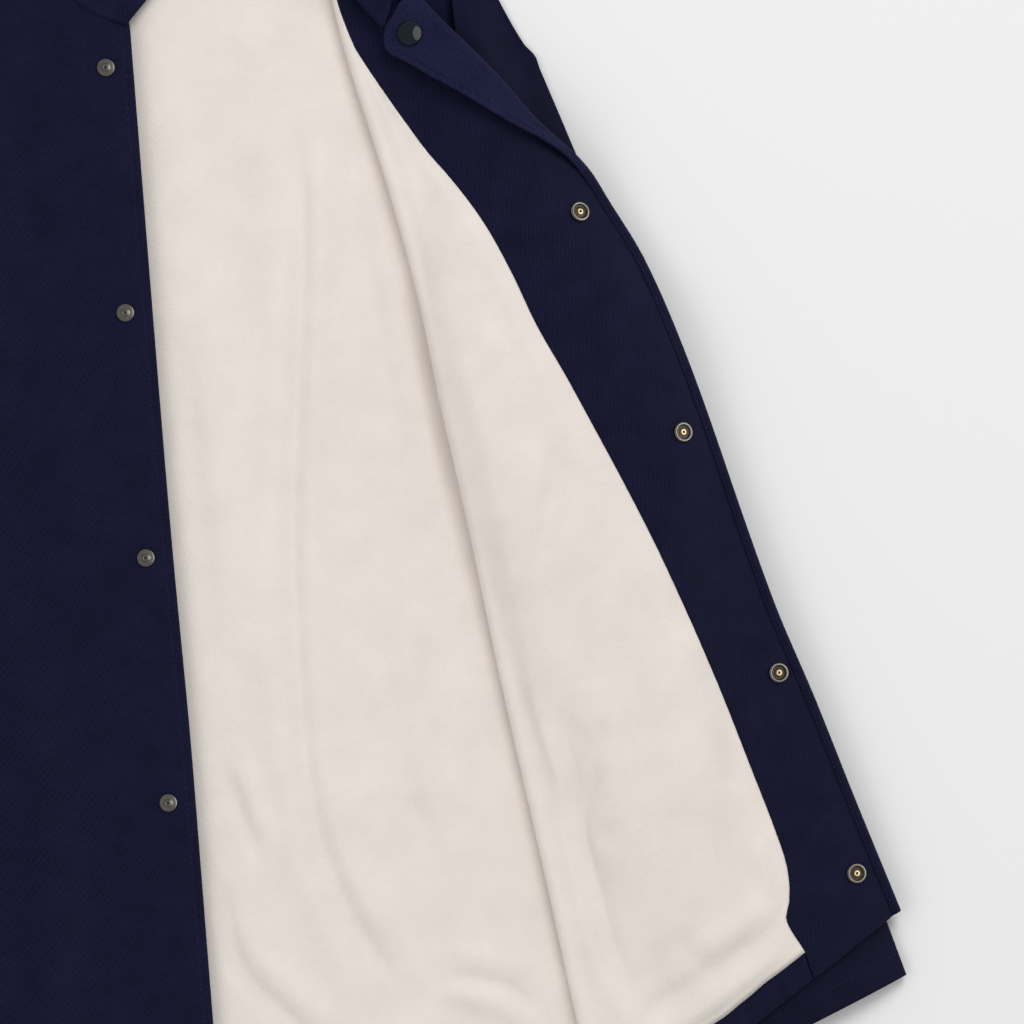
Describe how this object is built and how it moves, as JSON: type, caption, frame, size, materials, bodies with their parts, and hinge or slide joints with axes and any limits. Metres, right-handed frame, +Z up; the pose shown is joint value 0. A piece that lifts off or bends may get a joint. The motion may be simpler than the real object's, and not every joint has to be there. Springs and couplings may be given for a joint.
{
  "type": "coach jacket laid open on its back",
  "caption": "Snap-front coach jacket with a fleece lining, laid flat on its back with its left front and the corner of that front folded open.",
  "frame": {"origin": "the surface under the middle of the back, on the centre back line, 380 mm above the hem", "axes": "+X to the wearer's left, +Y from the hem to the neck, +Z up from the surface that the jacket lies on"},
  "size_m": [1, 0.8367, 0.0355],
  "materials": {
    "shell_navy": "brushed navy twill",
    "lining_fleece": "cream brushed fleece",
    "snap_metal": "gunmetal with a brass tone",
    "snap_enamel": "glossy dark teal enamel"
  },
  "bodies": {
    "root": {"back_panel": "shell_navy", "back_lining": "lining_fleece", "back_hem": "shell_navy", "left_front": "shell_navy", "left_front_lining": "lining_fleece", "left_facing": "shell_navy", "left_front_hem": "shell_navy", "right_front": "shell_navy", "left_sleeve": "shell_navy", "right_sleeve": "shell_navy", "collar": "shell_navy", "snap_cap_1": "snap_enamel", "snap_socket_1": "snap_metal", "snap_socket_2": "snap_metal", "snap_socket_3": "snap_metal", "snap_socket_4": "snap_metal", "snap_socket_5": "snap_metal", "snap_stud_1": "snap_metal", "snap_stud_2": "snap_metal", "snap_stud_3": "snap_metal", "snap_stud_4": "snap_metal", "snap_stud_5": "snap_metal"}
  },
  "joints": []
}
